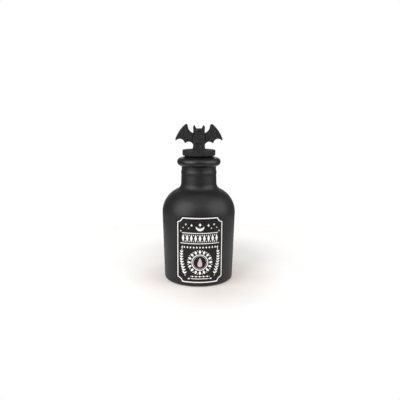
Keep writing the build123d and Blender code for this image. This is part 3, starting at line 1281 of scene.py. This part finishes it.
@dataclass
class Bat:
    """The cast bat: a plate with wings and ears, a thicker body and head, and a tenon below."""

    stopper: Stopper
    span: float = 46.4
    height: float = 25.1
    wing_thickness: float = 4.6
    body_thickness: float = 7.4
    head_thickness: float = 6.8
    wing_round: float = 0.9
    block_round: float = 1.3
    corner_round: float = 0.6
    block_corner_round: float = 1.8
    blend: float = 0.5
    block_fall: float = 8.0
    groove_depth: float = 0.5
    groove_width: float = 0.5
    groove_offset: float = 0.4
    groove_inset: float = 0.5
    groove_top_share: float = 0.8
    groove_fade: float = 1.5
    swell: float = 0.04
    swell_inset: float = 2.0
    swell_waves: tuple[tuple[float, float], ...] = ((1.1, 0.7), (-0.4, 0.8))
    step: float = 0.24
    grid_step: float = 0.55
    rim_rows: tuple[float, ...] = (0.05, 0.13, 0.25, 0.42, 0.65, 0.95)
    block_rows: tuple[float, ...] = (-1.2, -0.9, -0.65, -0.4, -0.2, -0.05, 0.02, 0.1, 0.25,
                                     0.5, 0.9, 1.35)
    row_slack: float = 0.03
    rim_reach: float = 1.15
    block_reach: tuple[float, float] = (-1.4, 1.6)
    edge_margin: float = 0.04
    foot_margin: float = 0.1
    root_height: float = 0.01
    seam_points: int = 28
    coarse: int = 4
    sharp_deg: float = 50.0

    def __post_init__(self) -> None:
        """Works out the height that the bat stands at and the tenon's half width."""
        self.low = self.stopper.cap_high
        self.tenon_side = self.stopper.tenon_width / 2

    def at(self, shares: dict[str, tuple[float, float]]) -> dict[str, np.ndarray]:
        """Turns shares of half the span and of the height into points over the cap."""
        return {name: np.array((x * self.span / 2, self.low + z * self.height))
                for name, (x, z) in shares.items()}

    def plate_half(self) -> np.ndarray:
        """The right half of the plate's outline, from its foot to its crown, corners rounded.

        Returns:
            A finely divided path.
        """
        at = self.at({
            "foot": (0.285, 0), "heel": (0.255, 0.102), "waist": (0.245, 0.19),
            "inner scallop": (0.405, 0.317), "inner point": (0.6, 0.224),
            "outer scallop": (0.755, 0.424), "outer point": (0.955, 0.37),
            "wing tip": (1, 0.4), "leading edge": (0.892, 0.629), "wing top": (0.58, 0.985),
            "wing peak": (0.5, 1), "wing inner": (0.463, 0.932), "inner edge": (0.385, 0.741),
            "armpit": (0.236, 0.649), "temple": (0.25, 0.888), "ear tip": (0.19, 0.971),
            "ear root": (0.112, 0.829), "crown": (0, 0.829),
        })
        pieces = [
            (160, "foot", "heel", "waist"),
            (240, "waist", "inner scallop", "inner point"),
            (240, "inner point", "outer scallop", "outer point"),
            (80, "outer point", "wing tip"),
            (400, "wing tip", "leading edge", "wing top"),
            (80, "wing top", "wing peak"), (80, "wing peak", "wing inner"),
            (240, "wing inner", "inner edge", "armpit"),
            (80, "armpit", "temple"), (80, "temple", "ear tip"), (80, "ear tip", "ear root"),
            (80, "ear root", "crown"),
        ]
        corners = np.array([at[names[0]] for _, *names in pieces[1:]])
        return soften(self.drawn(at, pieces), corners, self.corner_round)

    @staticmethod
    def drawn(at: dict[str, np.ndarray], pieces: list[tuple]) -> np.ndarray:
        """Draws an outline from its pieces, in order.

        Args:
            at: the outline's points by name.
            pieces: for each piece how many points it has and the names of the points that it
                goes through: two for a straight run, three for an arc.

        Returns:
            The path.
        """
        kinds = {2: run, 3: arc_through}
        return chain(*[kinds[len(names)](*[at[name] for name in names], count)
                       for count, *names in pieces])

    def torso_half(self) -> np.ndarray:
        """The right half of the body's outline, which narrows at the waist and the neck.

        Returns:
            A finely divided path, from well below the foot.
        """
        at = self.at({"below": (0.27, -0.25), "foot": (0.27, 0), "heel": (0.237, 0.102),
                      "waist": (0.225, 0.19), "belly": (0.25, 0.414), "neck": (0.185, 0.668),
                      "middle": (0, 0.668)})
        fine = self.drawn(at, [(60, "below", "foot"), (100, "foot", "heel", "waist"),
                               (200, "waist", "belly", "neck"), (80, "neck", "middle")])
        return soften(fine, np.array([at["neck"]]), self.block_corner_round)

    def head_half(self) -> np.ndarray:
        """The right half of the head's outline, wider at the brow than at the chin.

        Returns:
            A finely divided path.
        """
        at = self.at({"chin middle": (0, 0.61), "chin": (0.2, 0.61), "brow": (0.228, 0.805),
                      "brow middle": (0, 0.805)})
        fine = self.drawn(at, [(80, *pair) for pair in zip(at, list(at)[1:])])
        return soften(fine, np.array([at["chin"], at["brow"]]), self.block_corner_round)

    @staticmethod
    def depth_in(outline: np.ndarray, points: np.ndarray) -> np.ndarray:
        """How deep points lie inside an outline, negative outside.

        The distance to a side is that to the nearest of its points; the share along the
        side is the dot product over the side's length squared, held between 0 and 1. A
        point is inside if an odd number of sides cross the level line to its right.

        Args:
            outline: the closed outline.
            points: the points.

        Returns:
            The depth of each point.
        """
        start, side = outline, np.roll(outline, -1, 0) - outline
        rise = np.where(side[:, 1] == 0, LEVEL_RISE, side[:, 1])
        made = []
        for block in np.array_split(points, max(1, len(points) // BLOCK_POINTS)):
            away = block[:, None] - start
            share = np.clip((away * side).sum(-1) / (side * side).sum(-1), 0, 1)
            gap = np.linalg.norm(away - share[..., None] * side, axis=-1).min(1)
            spans = (start[:, 1] > block[:, 1:]) != ((start + side)[:, 1] > block[:, 1:])
            cross = start[:, 0] + (block[:, 1:] - start[:, 1]) / rise * side[:, 0] > block[:, :1]
            made.append(np.where((spans & cross).sum(1) % 2, gap, -gap))
        return np.concatenate(made)

    def half_thickness(self, points: np.ndarray) -> np.ndarray:
        """Half the bat's thickness over points of its plane.

        Plate, body and head each have a flat face whose rim falls away as a quarter circle:
        at depth d below the round r the height is flat - r + sqrt(r^2 - (r - d)^2). Beyond
        its outline a block falls steeply. Where two of them come within the blend k, the
        higher is raised by (k - difference)^2 / (4 k), which leaves a small fillet. A groove
        runs beside the body and the head, up to the brow: its depth at a distance t from its
        middle is the full depth times exp(-(t / width)^2), and it runs out towards the
        plate's rim. A slow swell, the product of two sines, is the unevenness of the cast.

        Args:
            points: points in the plane of the bat.

        Returns:
            Half the thickness at each.
        """
        drop = np.array((0, self.height / 4))
        plate, torso, head = [mirrored(half[::self.coarse]) for half in (
            self.plate_half(), self.torso_half(), self.head_half())]
        plate = np.concatenate((plate[:1] - drop, plate, plate[-1:] - drop))
        depths, heights = [], []
        for outline, thickness, radius, fall in (
                (plate, self.wing_thickness, self.wing_round, 0),
                (torso, self.body_thickness, self.block_round, self.block_fall),
                (head, self.head_thickness, self.block_round, self.block_fall)):
            depth = self.depth_in(outline, points)
            rim = np.clip(radius - depth, 0, radius)
            rounded = thickness / 2 - radius + np.sqrt(radius ** 2 - rim ** 2)
            depths.append(depth)
            heights.append(rounded + np.minimum(depth, 0) * fall)
        made = heights[0]
        for other in heights[1:]:
            near = np.clip(self.blend - np.abs(made - other), 0, None)
            made = np.maximum(made, other) + near ** 2 / (4 * self.blend)
        groove_top = self.low + self.groove_top_share * self.height
        fade = (np.clip((groove_top - points[:, 1]) / self.groove_fade, 0, 1)
                * np.clip(depths[0] - self.groove_inset, 0, 1))
        for depth in depths[1:]:
            near = np.exp(-((depth + self.groove_offset) / self.groove_width) ** 2)
            made = made - self.groove_depth * near * fade
        inner = np.clip(depths[0] / self.swell_inset, 0, 1)
        waves = np.sin(points @ np.array(self.swell_waves).T).prod(1)
        return made + self.swell * inner * (waves - 0.5)

    def outline(self) -> np.ndarray:
        """The plate's whole outline, evenly stepped, with the tenon below it.

        Returns:
            The closed outline.
        """
        right = even(self.plate_half(), self.step)
        side, root = self.tenon_side, self.low - self.root_height
        end = self.low - self.stopper.tenon_depth
        tenon = chain(run((0, end), (side, end), 9), run((side, end), (side, root), 9),
                      run((side, root), (side, self.low), 2), run((side, self.low), right[0], 8))
        return mirrored(chain(tenon, right))

    def inner_points(self, outline: np.ndarray) -> np.ndarray:
        """Points inside the outline: rows that follow each rim closely, and an even grid.

        A row at depth d is the rim moved inwards by d along its normals, and only points
        whose real depth is near d are kept, so that rows don't cross at hollow corners. The
        grid keeps clear of the rows.

        Args:
            outline: the whole outline.

        Returns:
            The points.
        """
        low, high = outline.min(0), outline.max(0)
        grid = np.stack(np.meshgrid(*[np.arange(a, b, self.grid_step)
                                      for a, b in zip(low, high)]), -1).reshape(-1, 2)
        kept = []
        for half, rows, reach in (
                (self.plate_half(), self.rim_rows, (self.block_reach[0], self.rim_reach)),
                (self.torso_half(), self.block_rows, self.block_reach),
                (self.head_half(), self.block_rows, self.block_reach)):
            rim = mirrored(half)
            stepped = even(rim, self.step)[:-1]
            inward = normals(stepped, closed=False)
            for row in rows:
                moved = stepped + row * inward
                real = self.depth_in(rim[::self.coarse], moved)
                kept.append(moved[np.abs(real - row) < self.row_slack])
            depth = self.depth_in(rim[::self.coarse], grid)
            grid = grid[(depth < reach[0]) | (depth > reach[1])]
        every = np.concatenate((*kept, grid))
        every = every[every[:, 1] > self.low + self.foot_margin]
        return every[self.depth_in(outline, every) > self.edge_margin]

    def build(self) -> bpy.types.Object:
        """Triangulates the plane of the bat, raises it to both sides, and closes the rim.

        The wall between the two sides has two more rows of points, at thirds of the way.

        Returns:
            The bat.
        """
        outline, side = self.outline(), self.tenon_side
        seams = [run((side, height), (-side, height), self.seam_points + 2)[1:-1]
                 for height in (self.low, self.low - self.root_height)]
        flat = np.concatenate((outline, self.inner_points(outline), *seams))
        ring = np.arange(len(outline))
        edges = np.column_stack((ring, np.roll(ring, -1)))
        made = delaunay_2d_cdt([Vector(p) for p in flat], edges.tolist(), [], 1, MERGE_MM, False)
        plane, faces = np.array([tuple(p) for p in made[0]]), np.array(made[2])
        faces = faces[self.depth_in(outline, plane[faces].mean(1)) > 0]
        order = np.argmin(((outline[:, None] - plane) ** 2).sum(-1), axis=1)
        half = np.where(plane[:, 1] < self.low - self.root_height / 2,
                        self.stopper.tenon_thickness / 2, self.half_thickness(plane))
        count = len(plane)
        sides = [np.column_stack((plane[:, 0], s * half, plane[:, 1])) for s in (-1, 1)]
        middles = [np.column_stack((outline[:, 0], s * half[order], outline[:, 1]))
                   for s in (-1 / 3, 1 / 3)]
        rows = [order, 2 * count + ring, 2 * count + len(ring) + ring, order + count]
        walls = [np.column_stack((np.roll(a, -1), a, b, np.roll(b, -1)))
                 for a, b in zip(rows, rows[1:])]
        bat = put_down("bat_figure", np.concatenate((*sides, *middles)),
                       [faces, faces[:, ::-1] + count, *walls], [CAST_RESIN.make()],
                       sharp_deg=self.sharp_deg)
        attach(bat, "stopper")
        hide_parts("bat_finial")
        return bat


# Floor, lights and camera


@dataclass(frozen=True)
class Softbox:
    """A rectangular lamp behind a diffuser, aimed at the middle of the bottle.

    Attributes:
        name: the lamp's name.
        azimuth_deg: direction from the bottle, 0 in front and 90 to the right.
        size: width and height in metres.
        radiance: brightness of its face, where 1 is white.
        elevation_deg: height of its middle above the level, in degrees.
        distance: metres from the place that it is aimed at.
        aim_height: height of that place in metres.
    """

    name: str
    azimuth_deg: float
    size: tuple[float, float]
    radiance: float
    elevation_deg: float = 25.0
    distance: float = 0.75
    aim_height: float = 0.08

    def build(self) -> None:
        """Puts the lamp up. Its power is radiance times pi times its area."""
        lamp = bpy.data.lights.new(self.name, "AREA")
        lamp.shape = "RECTANGLE"
        lamp.size, lamp.size_y = self.size
        lamp.energy = self.radiance * pi * self.size[0] * self.size[1]
        made = bpy.data.objects.new(self.name, lamp)
        turn, rise = radians(self.azimuth_deg), radians(self.elevation_deg)
        away = Vector((sin(turn) * cos(rise), -cos(turn) * cos(rise), sin(rise)))
        made.location = Vector((0, 0, self.aim_height)) + away * self.distance
        made.rotation_mode = "QUATERNION"
        made.rotation_quaternion = away.to_track_quat("Z", "Y")
        bpy.context.scene.collection.objects.link(made)


@dataclass(frozen=True)
class Halo:
    """A value that runs from one level to another with the distance from a place.

    Attributes:
        centre: the place, in millimetres.
        reach: the distances between which the value runs, in millimetres.
        levels: the values at those distances.
        curve: how it runs, as a Map Range node names it.
    """

    centre: tuple[float, float, float]
    reach: tuple[float, float]
    levels: tuple[float, float]
    curve: str

    def socket(self, tree: bpy.types.NodeTree, place: bpy.types.NodeSocket) -> bpy.types.NodeSocket:
        """Adds the nodes of the value to a tree.

        Args:
            tree: the node tree.
            place: the output socket that gives the place.

        Returns:
            The output socket of the value.
        """
        away = add_node(tree, "ShaderNodeVectorMath",
                        {"operation": "DISTANCE", 1: [c * MM for c in self.centre]}, {0: place})
        run_of = add_node(tree, "ShaderNodeMapRange",
                          {"interpolation_type": self.curve, "From Min": self.reach[0] * MM,
                           "From Max": self.reach[1] * MM, "To Min": self.levels[0],
                           "To Max": self.levels[1]}, {"Value": away.outputs["Value"]})
        return run_of.outputs["Result"]


@dataclass
class Studio:
    """A round pale table, two soft lamps, a surround that is white behind, and the camera."""

    table_radius: float = 240.0
    table_segments: int = 96
    table_rings: int = 23
    # The first colour is a painted warm tint of the shadow near the bottle; the second is the
    # table's own neutral tone, further out.
    shadow_tint_and_table_colour: tuple[str, str] = ("#e6ddd6", "#e3e1df")
    painted_shadow_tint: Halo = Halo((8.0, 10.0, 0.0), (30.0, 100.0), (0.0, 1.0), "SMOOTHSTEP")
    # The glow is kept low near the bottle and dips behind it, which paints a shadow pool over the
    # lamps' own shadow; further out it makes the table white.
    glow: Halo = Halo((9.8, -38.1, 0.0), (5.3, 99.9), (0.040, 0.405), "LINEAR")
    painted_shadow_dip: Halo = Halo((11.0, 94.7, 0.0), (0.0, 105.1), (-0.285, 0.0), "SMOOTHSTEP")
    glow_mirrored_share: float = 0.35
    sky_tilt_deg: float = 60.0
    sky_cosines: tuple[float, float] = (0.6, 0.95)
    sky_low: float = 0.15
    sky_front: float = 0.78
    backdrop_cosines: tuple[float, float] = (0.88, 0.96)
    lamps: tuple[Softbox, ...] = (Softbox("lamp_left", -54, (0.74, 0.76), 3.05),
                                  Softbox("lamp_right", 65, (0.92, 0.76), 2.05))
    distance_mm: float = 520.0
    camera_height_mm: float = 175.4
    camera_shift_mm: float = 1.26
    azimuth_deg: float = -2.3
    pitch_deg: float = 10.53
    roll_deg: float = 0.24
    focal_px: float = 532.16
    image_px: float = 400.0
    sensor_width: float = 36.0
    clip: tuple[float, float] = (0.01, 100.0)

    def table(self) -> None:
        """A disc under the bottle: rings of radius R s^2, so that it is finer in the middle.

        Its colour runs from a warm tone at the bottle to a neutral one further out; the warm
        tone is a painted warm tint of the shadow. The camera, rays through glass and, at a
        share, reflections also see a faint glow. It rises outwards, so that the disc is white
        at its edge; its low level near the bottle and its dip behind the bottle paint a shadow
        pool over the shadow that the lamps cast.
        keeps the bottle's shadow.
        """
        share = np.linspace(0, 1, self.table_rings + 1)[1:]
        rings = spun(np.column_stack((self.table_radius * share ** 2, 0 * share)),
                     self.table_segments)
        points = np.concatenate((rings.reshape(-1, 3), [(0, 0, 0)]))
        faces = [bands(self.table_rings, self.table_segments)[:, ::-1],
                 fan(len(points) - 1, 0, self.table_segments)]
        material = new_material("pale_table")
        tree = material.node_tree
        place = add_node(tree, "ShaderNodeTexCoord", {}, {}).outputs["Object"]
        # The glow's level: white far out, with a painted shadow pool near the bottle and a painted
        # shadow dip behind it.
        level = add_node(tree, "ShaderNodeMath", {"operation": "ADD"},
                         {0: self.glow.socket(tree, place), 1: self.painted_shadow_dip.socket(tree, place)})
        ray = add_node(tree, "ShaderNodeLightPath", {}, {})
        dimmed = add_node(tree, "ShaderNodeMath",
                          {"operation": "MULTIPLY", 1: self.glow_mirrored_share},
                          {0: ray.outputs["Is Glossy Ray"]})
        some = add_node(tree, "ShaderNodeMath", {"operation": "MAXIMUM"},
                        {0: ray.outputs["Is Camera Ray"], 1: dimmed.outputs[0]})
        seen = add_node(tree, "ShaderNodeMath", {"operation": "MAXIMUM"},
                        {0: some.outputs[0], 1: ray.outputs["Is Transmission Ray"]})
        glow = add_node(tree, "ShaderNodeMath", {"operation": "MULTIPLY"},
                        {0: seen.outputs[0], 1: level.outputs[0]})
        # Paints the warm shadow tint near the bottle, fading to the table's neutral tone further
        # out.
        tone = add_node(tree, "ShaderNodeMix",
                        {"data_type": "RGBA", 6: linear(self.shadow_tint_and_table_colour[0]),
                         7: linear(self.shadow_tint_and_table_colour[1])}, {0: self.painted_shadow_tint.socket(tree, place)})
        shader = add_node(tree, "ShaderNodeBsdfPrincipled",
                          {"Roughness": 0.9, "Emission Color": (1, 1, 1, 1)},
                          {"Base Color": tone.outputs[2], "Emission Strength": glow.outputs[0]})
        add_node(tree, "ShaderNodeOutputMaterial", {}, {"Surface": shader.outputs["BSDF"]})
        put_down("table_top", points, faces, [material])

    def surround(self) -> None:
        """The world: dim, brighter high in front, with a white backdrop behind.

        The strength rises smoothly with the cosine of the angle from a direction high up in
        front of the bottle. The camera and rays through glass see plain white. Reflections
        see it where the backdrop is: white within 16 degrees of straight behind, and less
        and less out to 28 degrees.
        """
        world = bpy.data.worlds.new("surround")
        bpy.context.scene.world = world
        world.use_nodes = True
        tree = world.node_tree
        tree.nodes.clear()
        toward = add_node(tree, "ShaderNodeTexCoord", {}, {}).outputs["Generated"]
        parts = add_node(tree, "ShaderNodeSeparateXYZ", {}, {0: toward})
        rise = radians(self.sky_tilt_deg)
        tilt = add_node(tree, "ShaderNodeVectorMath",
                        {"operation": "DOT_PRODUCT", 1: (0.0, -cos(rise), sin(rise))}, {0: toward})
        sky = add_node(tree, "ShaderNodeMapRange",
                       {"interpolation_type": "SMOOTHSTEP", "From Min": self.sky_cosines[0],
                        "From Max": self.sky_cosines[1], "To Min": self.sky_low,
                        "To Max": self.sky_front}, {"Value": tilt.outputs["Value"]})
        behind = add_node(tree, "ShaderNodeMapRange",
                          {"From Min": self.backdrop_cosines[0],
                           "From Max": self.backdrop_cosines[1]}, {"Value": parts.outputs["Y"]})
        ray = add_node(tree, "ShaderNodeLightPath", {}, {})
        mirrored = add_node(tree, "ShaderNodeMath", {"operation": "MULTIPLY"},
                            {0: ray.outputs["Is Glossy Ray"], 1: behind.outputs["Result"]})
        some = add_node(tree, "ShaderNodeMath", {"operation": "MAXIMUM"},
                        {0: ray.outputs["Is Camera Ray"], 1: ray.outputs["Is Transmission Ray"]})
        white = add_node(tree, "ShaderNodeMath", {"operation": "MAXIMUM"},
                         {0: some.outputs[0], 1: mirrored.outputs[0]})
        strength = add_node(tree, "ShaderNodeMix", {"data_type": "FLOAT", 3: 1.0},
                            {0: white.outputs[0], 2: sky.outputs["Result"]})
        back = add_node(tree, "ShaderNodeBackground", {"Color": (1, 1, 1, 1)},
                        {"Strength": strength.outputs[0]})
        add_node(tree, "ShaderNodeOutputWorld", {}, {"Surface": back.outputs[0]})

    def camera(self) -> None:
        """Sets the camera up as the photograph was taken, for an image 400 pixels wide."""
        lens = bpy.data.cameras.new("camera")
        lens.sensor_width = self.sensor_width
        lens.lens = self.sensor_width * self.focal_px / self.image_px
        lens.clip_start, lens.clip_end = self.clip
        made = bpy.data.objects.new("camera", lens)
        bpy.context.scene.collection.objects.link(made)
        place = Vector((self.camera_shift_mm, -self.distance_mm, self.camera_height_mm)) * MM
        turn = Matrix.Rotation(radians(self.azimuth_deg), 4, "Z")
        aim = Matrix.Rotation(radians(90 - self.pitch_deg), 4, "X")
        roll = Matrix.Rotation(radians(self.roll_deg), 4, "Z")
        made.matrix_world = turn @ Matrix.Translation(place) @ aim @ roll
        bpy.context.scene.camera = made

    def build(self) -> None:
        """Makes the camera first, then the table, the surround and the lamps."""
        self.camera()
        self.table()
        self.surround()
        for lamp in self.lamps:
            lamp.build()
        bpy.context.scene.view_settings.view_transform = "Standard"


def main() -> None:
    """Builds the studio and the pieces in order, and reports each."""
    logging.basicConfig(level=logging.INFO, format="%(name)s: %(message)s")
    Studio().build()
    bottle = Bottle()
    stopper = Stopper(bottle)
    pieces = [bottle.build(), *Label(bottle).build(), *stopper.build(), Bat(stopper).build()]
    for piece in pieces:
        LOG.info("%s: %d faces", piece.name, len(piece.data.polygons))


if __name__ == "__main__":
    main()
